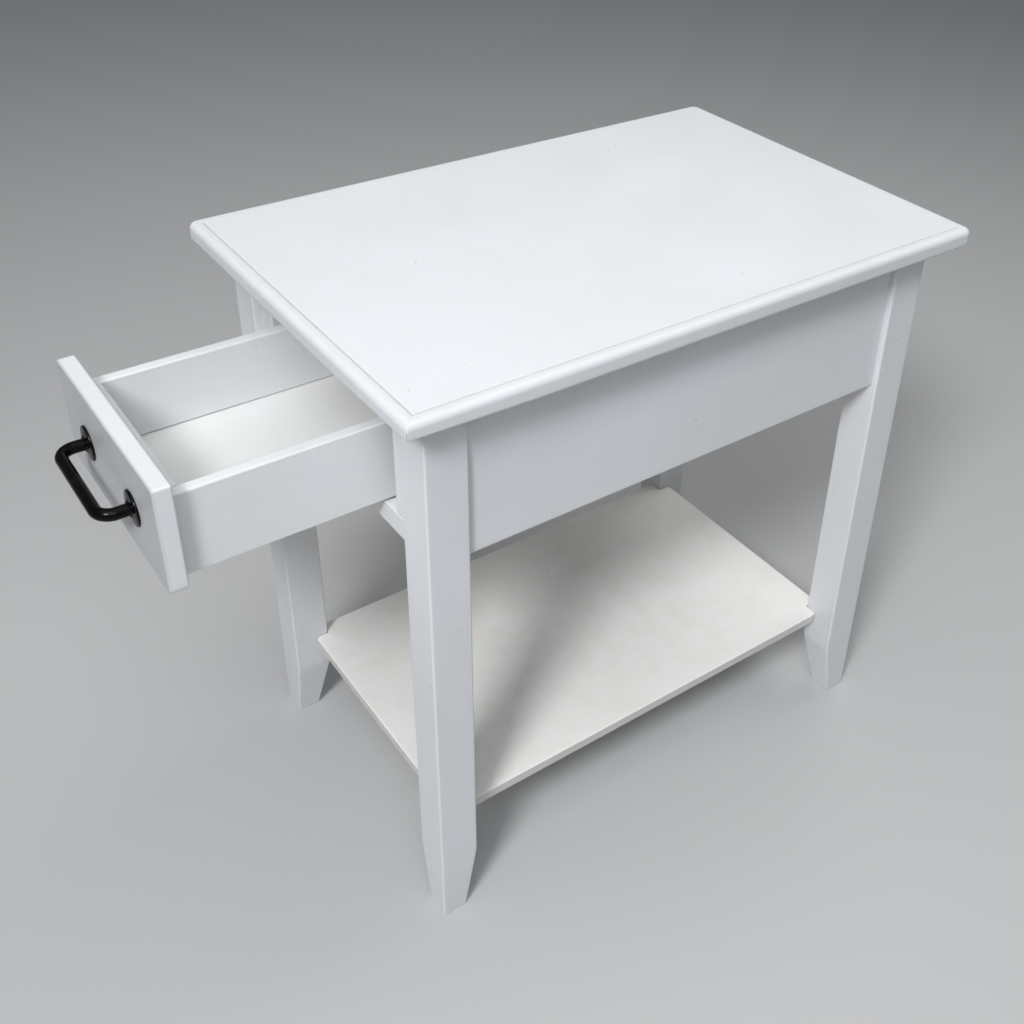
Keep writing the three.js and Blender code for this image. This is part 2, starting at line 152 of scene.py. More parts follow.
# ---------------------------------------------------------------- mesh making
def finish_mesh(node, verts, faces, wear, body, slot, material):
    """Piece in a CAD node's place from its points and faces, smooth where rounded, with wear per point."""
    name = node + "_fine"
    mesh = bpy.data.meshes.new(name)
    mesh.from_pydata([tuple(v) for v in verts], [], faces)
    attribute = mesh.attributes.new("wear", "FLOAT", "POINT")
    attribute.data.foreach_set("value", wear)
    bm = bmesh.new()
    bm.from_mesh(mesh)
    bmesh.ops.remove_doubles(bm, verts=bm.verts, dist=MERGE)
    bmesh.ops.dissolve_degenerate(bm, edges=bm.edges, dist=MERGE)
    bmesh.ops.recalc_face_normals(bm, faces=bm.faces)
    bm.to_mesh(mesh)
    bm.free()
    mesh.shade_smooth()
    mesh.set_sharp_from_angle(angle=SHARP)
    piece = bpy.data.objects.new(name, mesh)
    bpy.context.scene.collection.objects.link(piece)
    mesh.materials.append(material)
    weighted = piece.modifiers.new("weighted", "WEIGHTED_NORMAL")
    weighted.keep_sharp = True
    weighted.weight = 90
    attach(piece, body)
    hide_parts(node)


def fillet(points, radii, segments=ARC):
    """Closed outline with rounded corners: (u, v, wear), with wear 1 in the middle of a corner."""
    outline = []
    count = len(points)
    for i, radius in enumerate(radii):
        here = Vector(points[i])
        before = (Vector(points[i - 1]) - here).normalized()
        after = (Vector(points[(i + 1) % count]) - here).normalized()
        if radius <= 0:
            outline.append((here.x, here.y, 0.0))
            continue
        half = before.angle(after) / 2
        reach = radius / math.tan(half)
        centre = here + (before + after).normalized() * radius / math.sin(half)
        start = here + before * reach - centre
        end = here + after * reach - centre
        sweep = start.angle(end)
        for k in range(segments + 1):
            share = k / segments
            turn = math.sin((1 - share) * sweep) * start + math.sin(share * sweep) * end
            point = centre + turn.normalized() * radius
            wear = EDGE_WEAR + (1 - EDGE_WEAR) * math.sin(math.pi * share)
            outline.append((point.x, point.y, wear))
    return outline


def subdivide(outline, longest):
    """Adds points along the straight stretches, so that wear stays near the corners."""
    result = []
    for i, (u, v, wear) in enumerate(outline):
        result.append((u, v, wear))
        next_u, next_v, _ = outline[(i + 1) % len(outline)]
        length = math.hypot(next_u - u, next_v - v)
        if length > 3 * EDGE_R:
            near = EDGE_R / length
            cuts = int(length / longest)
            shares = [near] + [k / (cuts + 1) for k in range(1, cuts + 1)] + [1 - near]
            for share in sorted(shares):
                result.append((u + (next_u - u) * share, v + (next_v - v) * share, 0.0))
    return result


def offset(outline, distance):
    """Moves a closed outline inwards by a distance. It runs anticlockwise."""
    sharpest = 1.2
    result = []
    count = len(outline)
    for i, (u, v, wear) in enumerate(outline):
        before = Vector(outline[i - 1][:2])
        here = Vector((u, v))
        after = Vector(outline[(i + 1) % count][:2])
        arriving = here - before
        leaving = after - here
        if arriving.length <= TINY:
            arriving = leaving
        if leaving.length <= TINY:
            leaving = arriving
        arriving = arriving.normalized()
        leaving = leaving.normalized()
        mean = Vector((-arriving.y, arriving.x)) + Vector((-leaving.y, leaving.x))
        mean = mean * (2 / max(mean.length_squared, sharpest))
        result.append((u + mean.x * distance, v + mean.y * distance, wear))
    return result


def offset_point(outline, i, distance):
    """One point of an outline, moved inwards."""
    before = Vector(outline[i - 1][:2])
    after = Vector(outline[(i + 1) % len(outline)][:2])
    along = (after - before).normalized() if (after - before).length > TINY else Vector((1, 0))
    return outline[i][0] - along.y * distance, outline[i][1] + along.x * distance


def on_axis(axis, t, u, v):
    """Point at t along an axis, and u, v across it: the remaining axes in X, Y, Z order."""
    point = [u, v]
    point.insert(axis, t)
    return Vector(point)


def across(axis, corner):
    """The two coordinates of a corner that on_axis calls u and v."""
    return [corner[i] for i in range(3) if i != axis]


def skin(rings, capped=True):
    """Vertices, faces and wear of a tube through equal rings of (point, wear)."""
    verts = [point for ring in rings for point, _ in ring]
    wear = [value for ring in rings for _, value in ring]
    count = len(rings[0])
    faces = []
    for r in range(len(rings) - 1):
        for i in range(count):
            j = (i + 1) % count
            faces.append((r * count + i, r * count + j, (r + 1) * count + j, (r + 1) * count + i))
    if capped:
        faces.append(tuple(reversed(range(count))))
        faces.append(tuple(range((len(rings) - 1) * count, len(rings) * count)))
    return verts, faces, wear


def drift(seed, point):
    """Slow random inward wander of a face, from 0 to 1."""
    return 0.5 + 0.5 * noise.noise(point * WOBBLE_FREQUENCY + Vector((0, 0, seed * SEED_STEP)))


def swept(axis, outline_at, span, end_r, seed=0, wobble=WOBBLE, step=STATION):
    """Board whose cross-section is outline_at(t), with both ends rounded by end_r."""
    low, high = span
    rounded_end = []
    for k in range(ARC + 1):
        angle = math.pi / 2 * k / ARC
        rounded_end.append((end_r * (1 - math.cos(angle)), end_r * (1 - math.sin(angle)), 1 - k / ARC))
    inner = high - low - 2 * end_r
    cuts = max(1, int(inner / step))
    stations = [(low + depth, inset, wear) for depth, inset, wear in rounded_end]
    stations += [(low + end_r + inner * k / cuts, 0.0, 0.0) for k in range(1, cuts)]
    stations += [(high - depth, inset, wear) for depth, inset, wear in reversed(rounded_end)]
    rings = []
    for t, inset, end_wear in stations:
        outline = offset(outline_at(t), inset)
        ring = []
        for i, (u, v, wear) in enumerate(outline):
            wander = wobble * drift(seed, on_axis(axis, t, u, v))
            u, v = offset_point(outline, i, wander)
            ring.append((on_axis(axis, t, u, v), max(wear, end_wear)))
        rings.append(ring)
    return skin(rings)


def rectangle(low, high):
    """Corners of a rectangle, anticlockwise from the lowest."""
    return [(low[0], low[1]), (high[0], low[1]), (high[0], high[1]), (low[0], high[1])]


def board_outline(low, high, radius, longest=OUTLINE_STEP):
    """Section of a board, with all four edges rounded."""
    return subdivide(fillet(rectangle(low, high), [radius] * 4), longest)


def board(node, axis, body, slot, material, radius=EDGE_R, seed=0):
    """Painted or bare board in a CAD board's place, with sanded edges."""
    low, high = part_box(node)
    outline = board_outline(across(axis, low), across(axis, high), LONG_EDGE * radius)
    made = swept(axis, lambda t: outline, (low[axis], high[axis]), radius, seed)
    finish_mesh(node, *made, body, slot, material)


# ---------------------------------------------------------------- materials
FIRST_COLOUR = 6             # sockets of a Mix node that mixes colours
SECOND_COLOUR = 7
MIXED_COLOUR = 2


class Nodes:
    """Short hand for building one material's node tree."""

    def __init__(self, name):
        self.material = bpy.data.materials.new(name)
        self.material.use_nodes = True
        self.tree = self.material.node_tree
        self.shader = self.tree.nodes["Principled BSDF"]
        coordinates = self.tree.nodes.new("ShaderNodeTexCoord")
        self.position = coordinates.outputs["Object"]

    def link(self, source, socket):
        self.tree.links.new(source, socket)

    def stretch(self, scale):
        mapping = self.tree.nodes.new("ShaderNodeMapping")
        mapping.inputs["Scale"].default_value = scale
        self.link(self.position, mapping.inputs["Vector"])
        return mapping.outputs["Vector"]

    def noise(self, vector, scale, detail=3.0, roughness=0.5, distortion=0.0):
        node = self.tree.nodes.new("ShaderNodeTexNoise")
        node.inputs["Scale"].default_value = scale
        node.inputs["Detail"].default_value = detail
        node.inputs["Roughness"].default_value = roughness
        node.inputs["Distortion"].default_value = distortion
        self.link(vector, node.inputs["Vector"])
        return node.outputs["Fac"]

    def remap(self, value, source, target=(0.0, 1.0)):
        """Maps the range source onto the range target, and holds it there."""
        node = self.tree.nodes.new("ShaderNodeMapRange")
        node.inputs["From Min"].default_value = source[0]
        node.inputs["From Max"].default_value = source[1]
        node.inputs["To Min"].default_value = target[0]
        node.inputs["To Max"].default_value = target[1]
        self.link(value, node.inputs["Value"])
        return node.outputs["Result"]

    def math(self, operation, a, b):
        node = self.tree.nodes.new("ShaderNodeMath")
        node.operation = operation
        for socket, value in zip(node.inputs, (a, b)):
            if isinstance(value, (int, float)):
                socket.default_value = value
            else:
                self.link(value, socket)
        return node.outputs["Value"]

    def mix(self, factor, a, b):
        node = self.tree.nodes.new("ShaderNodeMix")
        node.data_type = "RGBA"
        sockets = (node.inputs["Factor"], node.inputs[FIRST_COLOUR], node.inputs[SECOND_COLOUR])
        for socket, value in zip(sockets, (factor, a, b)):
            if isinstance(value, (int, float)):
                socket.default_value = value
            elif isinstance(value, tuple):
                socket.default_value = (*value, 1.0)
            else:
                self.link(value, socket)
        return node.outputs[MIXED_COLOUR]

    def attribute(self, name):
        node = self.tree.nodes.new("ShaderNodeAttribute")
        node.attribute_name = name
        return node.outputs["Fac"]

    def bump(self, height, distance, strength, under=None):
        node = self.tree.nodes.new("ShaderNodeBump")
        node.inputs["Distance"].default_value = distance
        node.inputs["Strength"].default_value = strength
        self.link(height, node.inputs["Height"])
        if under is not None:
            self.link(under, node.inputs["Normal"])
        return node.outputs["Normal"]


def grain_scale(axis, along, over):
    """Scale of a pattern drawn out along an axis."""
    scale = [over] * 3
    scale[axis] = along
    return scale


def tinted(colour, tint):
    """A colour times a tint, channel by channel."""
    return tuple(c * k for c, k in zip(colour, tint))


NOISE_RANGE = (0.3, 0.7)             # where noise mostly lies
CLOUD_LIGHT = (1.022, 1.022, 1.022)  # slow unevenness of a painted face
CLOUD_DEEP = (0.977, 0.972, 0.963)
BRUSH_TINT = (0.93, 0.93, 0.93)      # brush marks
RUBBED_TINT = (0.93, 0.905, 0.86)    # edges
FRONT_SHADE_TINT = (0.62, 0.62, 0.62)     # painted shade on the drawer's front face
# painted shade, with some dirt, in grooves and on the shelf's edge faces
SHADE_AND_DIRT_COLOUR = (0.45, 0.43, 0.405)
CRACK_COLOUR = (0.05, 0.038, 0.028)
SPECK_COLOUR = (0.30, 0.29, 0.28)
SATIN = 0.42                         # roughness of the paint outside
BOX_SATIN = 0.46                     # and in the drawer


def paint(name, colour, axis, roughness=SATIN, streak=1.0, painted_shade=None):
    """Brushed satin paint on wood whose grain runs along an axis. painted_shade may add painted shade to
    its colour.
    """
    n = Nodes(name)
    streaks = n.noise(n.stretch(grain_scale(axis, along=9, over=260)), 1.0, detail=4.0, roughness=0.6)
    pores = n.noise(n.stretch(grain_scale(axis, along=60, over=900)), 1.0, detail=2.0, roughness=0.55)
    peel = n.noise(n.position, 420.0, detail=2.0, roughness=0.5)
    cloud = n.noise(n.position, 5.5, detail=3.0, roughness=0.55, distortion=0.4)
    wear = n.attribute("wear")
    clouded = n.mix(n.remap(cloud, NOISE_RANGE), tinted(colour, CLOUD_DEEP), tinted(colour, CLOUD_LIGHT))
    brush_marks = n.remap(streaks, (0.42, 0.72), (0.0, 0.22 * streak))
    brushed = n.mix(brush_marks, clouded, tinted(colour, BRUSH_TINT))
    patches = n.remap(n.noise(n.position, 38.0, detail=4.0, roughness=0.6), (0.45, 0.75), (0.0, 0.55))
    edges = n.math("MINIMUM", n.math("MULTIPLY", wear, patches), 0.6)
    rubbed = n.mix(edges, brushed, tinted(colour, RUBBED_TINT))
    # painted shade, with some dirt, where wear is over 1
    with_shade_and_dirt = n.mix(n.remap(wear, (1.1, SHADE_AND_DIRT), (0.0, 0.85)), rubbed, SHADE_AND_DIRT_COLOUR)
    cracked = n.mix(n.remap(wear, (SHADE_AND_DIRT, CRACK)), with_shade_and_dirt, CRACK_COLOUR)
    specks = n.remap(n.noise(n.position, 165.0, detail=1.0, roughness=0.4), (0.812, 0.84), (0.0, 0.6))
    finished = n.mix(specks, cracked, SPECK_COLOUR)
    if painted_shade:
        finished = painted_shade(n, finished, colour)
    n.link(finished, n.shader.inputs["Base Color"])
    unevenness = n.math("ADD", n.math("MULTIPLY", streaks, 0.6), n.math("MULTIPLY", cloud, 0.4))
    rough = n.remap(unevenness, NOISE_RANGE, (roughness - 0.05, roughness + 0.08))
    n.link(rough, n.shader.inputs["Roughness"])
    n.shader.inputs["IOR"].default_value = 1.48
    first = n.bump(streaks, 0.35 * MM, strength=0.35 * streak)
    second = n.bump(pores, 0.12 * MM, strength=0.3, under=first)
    third = n.bump(peel, 0.06 * MM, strength=0.35, under=second)
    n.link(third, n.shader.inputs["Normal"])
    return n.material


def bare_wood(name, axis):
    """Planed softwood with growth rings along an axis."""
    early_wood = (0.64, 0.47, 0.28)
    late_wood = (0.40, 0.26, 0.13)
    fibre_colour = (0.33, 0.21, 0.11)
    edge_colour = (0.30, 0.20, 0.12)
    n = Nodes(name)
    stretched = n.stretch(grain_scale(axis, along=5, over=95))
    rings = n.noise(stretched, 1.0, detail=5.0, roughness=0.62, distortion=0.7)
    fibres = n.noise(n.stretch(grain_scale(axis, along=40, over=1500)), 1.0, detail=3.0, roughness=0.6)
    wood = n.mix(n.remap(rings, (0.36, 0.66)), early_wood, late_wood)
    fibred = n.mix(n.remap(fibres, (0.4, 0.7), (0.0, 0.35)), wood, fibre_colour)
    rubbed = n.mix(n.math("MULTIPLY", n.attribute("wear"), 0.4), fibred, edge_colour)
    n.link(rubbed, n.shader.inputs["Base Color"])
    n.link(n.remap(fibres, NOISE_RANGE, (0.58, 0.78)), n.shader.inputs["Roughness"])
    first = n.bump(rings, 0.4 * MM, strength=0.3)
    second = n.bump(fibres, 0.3 * MM, strength=0.45, under=first)
    n.link(second, n.shader.inputs["Normal"])
    return n.material


def black_metal(name):
    """Satin black lacquer on steel, rubbed brown where it is handled and at its rims."""
    lacquer = (0.003, 0.003, 0.0034)
    rubbed_brown = (0.045, 0.028, 0.018)
    n = Nodes(name)
    cloud = n.noise(n.position, 60.0, detail=4.0, roughness=0.6)
    grain = n.noise(n.position, 900.0, detail=2.0, roughness=0.5)
    rubbed = n.math("MULTIPLY", n.attribute("wear"), n.remap(cloud, (0.48, 0.68), (0.0, 0.75)))
    n.link(n.mix(rubbed, lacquer, rubbed_brown), n.shader.inputs["Base Color"])
    n.link(n.remap(cloud, NOISE_RANGE, (0.13, 0.22)), n.shader.inputs["Roughness"])
    n.shader.inputs["IOR"].default_value = 1.22
    n.link(n.bump(grain, 0.05 * MM, strength=0.4), n.shader.inputs["Normal"])
    return n.material


def screw_steel(name):
    """Zinc-plated screw steel with turning marks and a dull bloom."""
    bright = (0.56, 0.56, 0.55)
    dull = (0.36, 0.35, 0.33)
    n = Nodes(name)
    bloom = n.noise(n.position, 240.0, detail=3.0, roughness=0.6)
    n.link(n.mix(n.remap(bloom, (0.35, 0.7)), bright, dull), n.shader.inputs["Base Color"])
    n.shader.inputs["Metallic"].default_value = 1.0
    n.link(n.remap(bloom, NOISE_RANGE, (0.28, 0.5)), n.shader.inputs["Roughness"])
    turning = n.noise(n.position, 2200.0, detail=2.0, roughness=0.5)
    n.link(n.bump(turning, 0.03 * MM, strength=0.4), n.shader.inputs["Normal"])
    return n.material


FRONT_SHADE_FULLY = 0.2 * MM      # the painted shade is full to this depth behind the drawer front's face
FRONT_SHADE_OUT = 2.6 * MM        # and has faded out at this one


def front_painted_shade(n, colour, paint_colour):
    """Painted shade on the drawer's front face only, a little less at its right end."""
    low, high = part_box("drawer_front")
    split = n.tree.nodes.new("ShaderNodeSeparateXYZ")
    n.link(n.position, split.inputs["Vector"])
    facing = n.remap(split.outputs["Y"], (low.y + FRONT_SHADE_FULLY, low.y + FRONT_SHADE_OUT), (1.0, 0.0))
    along = n.remap(split.outputs["X"], (low.x, high.x), (1.0, 0.92))
    patchy = n.remap(n.noise(n.position, 14.0, detail=3.0, roughness=0.55), NOISE_RANGE, (0.85, 1.0))
    amount = n.math("MULTIPLY", n.math("MULTIPLY", facing, along), patchy)
    return n.mix(amount, colour, tinted(paint_colour, FRONT_SHADE_TINT))


WHITE = (0.727, 0.738, 0.759)
# painted shade: the mouldings' paint is a little darker than WHITE, to tone down the light on their rounds
MOULDING_SHADED_WHITE = (0.69, 0.70, 0.72)
BOX_WHITE = (0.735, 0.744, 0.759)
# painted light: the drawer floor's paint is a little brighter than the box's, standing in for light on it
FLOOR_LIT_WHITE = (0.757, 0.757, 0.753)
# painted light: the shelf's paint is far brighter than WHITE, standing in for light on it, and warm for
# light bounced off a wooden floor
SHELF_LIT_WARM_WHITE = (0.94, 0.93, 0.905)
AXES = "xyz"
white = [paint("white_paint_" + AXES[a], WHITE, a) for a in range(3)]
boxed = [paint("box_paint_" + AXES[a], BOX_WHITE, a, BOX_SATIN) for a in range(3)]
floor_paint = paint("drawer_floor_paint", FLOOR_LIT_WHITE, Y, BOX_SATIN)
# the drawer's front face gets painted shade
front_paint = paint("front_paint", WHITE, X, painted_shade=front_painted_shade)
top_paint = paint("top_paint", WHITE, Y, streak=0.3)
moulding_paint = [
    paint("moulding_paint_" + AXES[a], MOULDING_SHADED_WHITE, a, roughness=0.6, streak=0.6)
    for a in (X, Y)
]
shelf_paint = paint("shelf_paint", SHELF_LIT_WARM_WHITE, Y, roughness=0.45)
pine = [bare_wood("bare_wood_" + AXES[a], a) for a in range(3)]
black = black_metal("black_metal")
steel = screw_steel("screw_steel")


# ---------------------------------------------------------------- top
def make_top_panel():
    """Flat centre board, sloping down to the groove all round its upper edge."""
    low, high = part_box("top_panel")
    levels = (
        # (height above the upper face, share of the slope's width inwards, whether the groove's painted
        # shade and dirt go there)
        (low.z - high.z, 0.0, False),
        (-GROOVE_DEPTH, 0.0, True),
        (-0.55 * GROOVE_DEPTH, 0.15, True),
        (-0.15 * GROOVE_DEPTH, 0.5, True),
        (0.0, 1.0, False),
    )
    rings = []
    for rise, share, with_shade_and_dirt in levels:
        inset = share * GROOVE_WIDTH * GROOVE_BEVEL
        filled = inset * GROOVE_FILLED
        x0, x1 = low.x + filled, high.x - inset
        y0, y1 = low.y + inset, high.y - filled
        outline = fillet(rectangle((x0, y0), (x1, y1)), [GROOVE_CORNER_R] * 4)
        ring = []
        for u, v, _ in outline:
            at_front = v < y0 + 2 * GROOVE_CORNER_R
            at_right = u > x1 - 2 * GROOVE_CORNER_R
            # painted shade and dirt in the groove, at the front and the right
            groove_shade_and_dirt = GROOVE_SHADE_AND_DIRT if at_front else GROOVE_SHADE_AND_DIRT_RIGHT if at_right else 0.0
            ring.append((Vector((u, v, high.z + rise)), groove_shade_and_dirt if with_shade_and_dirt else 0.0))
        rings.append(ring)
    finish_mesh("top_panel", *skin(rings), "table", "white_paint", top_paint)


def moulding_section(width, low_z, high_z, groove_share, groove_shade_and_dirt):
    """Moulding from its underside round to the groove: (distance out from the panel, height, wear)."""
    section = [(0.0, low_z, 0.0), (0.5 * (width - MOULD_LOW_R), low_z, 0.0)]
    for k in range(MOULD_ARC + 1):
        angle = math.pi / 2 * k / MOULD_ARC
        out = width - MOULD_LOW_R * (1 - math.sin(angle))
        section.append((out, low_z + MOULD_LOW_R * (1 - math.cos(angle)), MOULD_LOW_WEAR))
    for k in range(MOULD_ARC, -1, -1):
        angle = math.pi / 2 * k / MOULD_ARC
        out = width - MOULD_HIGH_R * (1 - math.sin(angle))
        wear = MOULD_TOP_WEAR + MOULD_EDGE_WEAR * math.sin(angle)
        section.append((out, high_z - MOULD_HIGH_R * (1 - math.cos(angle)), wear))
    slope = GROOVE_WIDTH * groove_share
    section.append((slope, high_z, 0.1))
    # painted shade and dirt down the groove's slope
    section.append((0.6 * slope, high_z - 0.2 * GROOVE_DEPTH, 0.85 * groove_shade_and_dirt))
    section.append((0.2 * slope, high_z - 0.7 * GROOVE_DEPTH, groove_shade_and_dirt))
    section.append((0.0, high_z - GROOVE_DEPTH, groove_shade_and_dirt))
    return section


def moulding_point(across_size, along_size, width, place, turn, out, corner_r):
    """Plan point of a mitred moulding: (distance along it, distance out from the table's middle).

    place runs from -1 to 1 along the straight part, and turn is the angle round the plan corner.
    """
    radius = max(corner_r - (width - out), MOULD_INNER_R)
    level = across_size - width + out
    reach = along_size - width + out - radius
    if turn:
        side = math.copysign(reach, turn) + radius * math.sin(turn)
        return side, level - radius * (1 - math.cos(turn))
    return place * reach, level


def moulding_stations(along_size):
    """(place, turn) of each cross-section of a moulding: half of each corner, and the straight between."""
    steps = int(2 * along_size / STATION)
    stations = [(-1.0, -math.pi / 4 * (1 - k / MITRE_ARC)) for k in range(MITRE_ARC)]
    stations += [(-1.0 + 2.0 * k / steps, 0.0) for k in range(steps + 1)]
    stations += [(1.0, math.pi / 4 * k / MITRE_ARC) for k in range(1, MITRE_ARC + 1)]
    return stations


def make_moulding(index, node, middle, size, width, section):
    """One of four mouldings, mitred at both ends; the foot of the front right mitre has opened."""
    runs_x = index % 2 == 0
    sign = -1 if index in (0, 3) else 1
    along_size, across_size = (size.x, size.y) if runs_x else (size.y, size.x)
    stations = moulding_stations(along_size)
    rings = []
    for station, (place, turn) in enumerate(stations):
        at_mitre = station in (0, len(stations) - 1)
        crisp = (index == 0 and place > 0) or (index == 1 and place < 0)
        corner_r = MOULD_CRISP_R if crisp else MOULD_ROUND_R
        near_corner = max(0.0, 1 - (1 - abs(place)) * along_size / SANDED_REACH)
        sanded = SANDED * near_corner if crisp else 0.0
        ring = []
        for out, z, wear in section:
            side, level = moulding_point(across_size, along_size, width, place, turn, out, corner_r)
            below = max(0.0, (middle.z - z) / size.z)
            if at_mitre:
                opening = MITRE_OPENED * max(0.0, below - MITRE_SOUND) if crisp else 0.0
                side -= math.copysign(MITRE_GAP + opening, place)
                wear = CRACK if opening > 0 else wear
            x = middle.x + (side if runs_x else sign * level)
            y = middle.y + (sign * level if runs_x else side)
            ring.append((Vector((x, y, z + sanded * below)), wear))
        rings.append(ring)
    used = moulding_paint[X if runs_x else Y]
    finish_mesh(node, *skin(rings), "table", "white_paint", used)


def make_top():
    """Panel and the four mouldings round it."""
    core_low, core_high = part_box("top_panel")
    outer_low = Vector((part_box("top_edge_left")[0].x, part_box("top_edge_front")[0].y, core_low.z))
    outer_high = Vector((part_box("top_edge_right")[1].x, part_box("top_edge_back")[1].y, core_high.z))
    width = core_low.x - outer_low.x
    middle = (outer_low + outer_high) / 2
    size = (outer_high - outer_low) / 2
    make_top_panel()
    # the open grooves, with their painted shade and dirt
    open_grooves = {0: GROOVE_SHADE_AND_DIRT, 1: GROOVE_SHADE_AND_DIRT_RIGHT}
    for index, node in enumerate(("top_edge_front", "top_edge_right", "top_edge_back", "top_edge_left")):
        share = 1 if index in open_grooves else GROOVE_FILLED
        section = moulding_section(width, core_low.z, core_high.z, share, open_grooves.get(index, 0.0))
        make_moulding(index, node, middle, size, width, section)


make_top()


# ---------------------------------------------------------------- legs
def make_leg(node, seed):
    """Square leg whose two inner faces taper near the floor."""
    low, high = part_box(node)
    shelf_low, shelf_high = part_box("shelf")
    on_right = low.x > 0
    at_back = low.y > (shelf_low.y + shelf_high.y) / 2

    def outline_at(t):
        # share is 1 at the floor and falls to 0 at the top of the taper, with a soft break there
        left = TAPER_TOP - t
        share = (left + math.hypot(left, TAPER_BLEND)) / (2 * TAPER_TOP)
        cut = (high.x - low.x - FOOT) * share
        x0 = low.x + (cut if on_right else 0)
        x1 = high.x - (0 if on_right else cut)
        y0 = low.y + (cut if at_back else 0)
        y1 = high.y - (0 if at_back else cut)
        return board_outline((x0, y0), (x1, y1), LEG_R, SHORT_OUTLINE_STEP)

    made = swept(Z, outline_at, (low.z, high.z), LEG_END_R, seed, step=LEG_STATION)
    finish_mesh(node, *made, "table", "white_paint", white[Z])


for number, leg in enumerate(("leg_front_left", "leg_front_right", "leg_back_left", "leg_back_right")):
    make_leg(leg, number)


# ---------------------------------------------------------------- aprons and front frame
FRAME_BOARDS = (
    # (node, axis of its grain)
    ("apron_left", Y),
    ("apron_right", Y),
    ("apron_back", X),
    ("front_upper_rail", X),
    ("front_stile_left", Z),
    ("front_stile_right", Z),
)
for number, (part, grain) in enumerate(FRAME_BOARDS):
    board(part, grain, "table", "white_paint", white[grain], seed=11 + number)


def make_lower_rail():
    """Rail under the drawer, cut up a little between its two ends."""
    low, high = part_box("front_lower_rail")
    relief = low.z + RELIEF_DEPTH
    points = [
        (low.x, low.z), (-RELIEF_X, low.z), (-RELIEF_X, relief), (RELIEF_X, relief),
        (RELIEF_X, low.z), (high.x, low.z), (high.x, high.z), (low.x, high.z),
    ]
    outline = fillet(points, [EDGE_R] * len(points))
    made = swept(Y, lambda t: outline, (low.y, high.y), 0.5 * EDGE_R, wobble=0.0, step=SHORT_STATION)
    finish_mesh("front_lower_rail", *made, "table", "white_paint", white[X])


make_lower_rail()


# ---------------------------------------------------------------- shelf
def make_shelf():
    """Board notched round the four legs, with painted shade on its edge faces."""
    low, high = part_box("shelf")
    leg_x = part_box("leg_front_right")[0].x - SHELF_GAP
    y0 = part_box("leg_front_right")[1].y + SHELF_GAP
    y1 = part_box("leg_back_right")[0].y - SHELF_GAP
    points = [
        (leg_x, low.y), (leg_x, y0), (high.x, y0), (high.x, y1), (leg_x, y1), (leg_x, high.y),
        (-leg_x, high.y), (-leg_x, y1), (low.x, y1), (low.x, y0), (-leg_x, y0), (-leg_x, low.y),
    ]
    radii = [SHELF_TIP_R, SHELF_NOTCH_R, SHELF_TIP_R] * 4
    outline = subdivide(fillet(points, radii, SHELF_ARC), SHORT_OUTLINE_STEP)
    made = swept(Z, lambda t: outline, (low.z, high.z), SHELF_R, wobble=0.0, step=SHORT_STATION)
    verts, faces, wear = made
    # painted shade on the edge faces, between their rounded edges
    for i, point in enumerate(verts):
        if low.z + 0.7 * SHELF_R < point.z < high.z - 0.7 * SHELF_R:
            wear[i] = SHELF_EDGE_SHADE
    finish_mesh("shelf", verts, faces, wear, "table", "warm_white_paint", shelf_paint)


make_shelf()


# ---------------------------------------------------------------- bare inner woodwork
for number, side in enumerate(("left", "right")):
    for kind in ("drawer_runner_", "drawer_guide_", "drawer_kicker_", "top_cleat_", "drawer_stop_"):
        board(kind + side, Y, "table", "bare_wood", pine[Y], FINE_R, seed=30 + number)
board("drawer_out_stop", Z, "drawer", "bare_wood", pine[Z], FINE_R, seed=33)


# ---------------------------------------------------------------- drawer
def make_drawer_front():
    """Inset panel, with each corner worn to its own radius."""
    low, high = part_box("drawer_front")
    radii = [PANEL_LOW_R, PANEL_LOW_R, PANEL_RIGHT_R, PANEL_LEFT_R]
    outline = subdivide(fillet(rectangle((low.x, low.z), (high.x, high.z)), radii), OUTLINE_STEP)
    made = swept(Y, lambda t: outline, (low.y, high.y), PANEL_R, seed=41)
    finish_mesh("drawer_front", *made, "drawer", "white_paint", front_paint)


make_drawer_front()
board("drawer_back", X, "drawer", "warm_white_paint", boxed[X], FINE_R, seed=42)
board("drawer_bottom", Y, "drawer", "warm_white_paint", floor_paint, FLOOR_R, seed=43)


def grooved_outline(inner, outer, bottom, top, groove_low, groove_high):
    """Section of a grooved board of the drawer: u runs between its inner and outer faces, v is height."""
    way = 1 if outer > inner else -1
    back = inner + way * FLOOR_GROOVE
    points = [
        (inner, bottom), (outer, bottom), (outer, top), (inner, top),
        (inner, groove_high), (back, groove_high), (back, groove_low), (inner, groove_low),
    ]
    radii = [FINE_R, EDGE_R, SIDE_TOP_R, SIDE_TOP_R, FLOOR_GROOVE_R, 0, 0, FLOOR_GROOVE_R]
    if way < 0:
        points = points[::-1]
        radii = radii[::-1]
    margin = 0.1 * MM
    outline = []
    for u, v, wear in fillet(points, radii):
        in_groove = (u - inner) * way > margin and groove_low - margin < v < groove_high + margin
        # painted shade on the floor groove's faces, darkening the gap line at the drawer's floor
        outline.append((u, v, SHADE_AND_DIRT if in_groove else wear))
    return outline


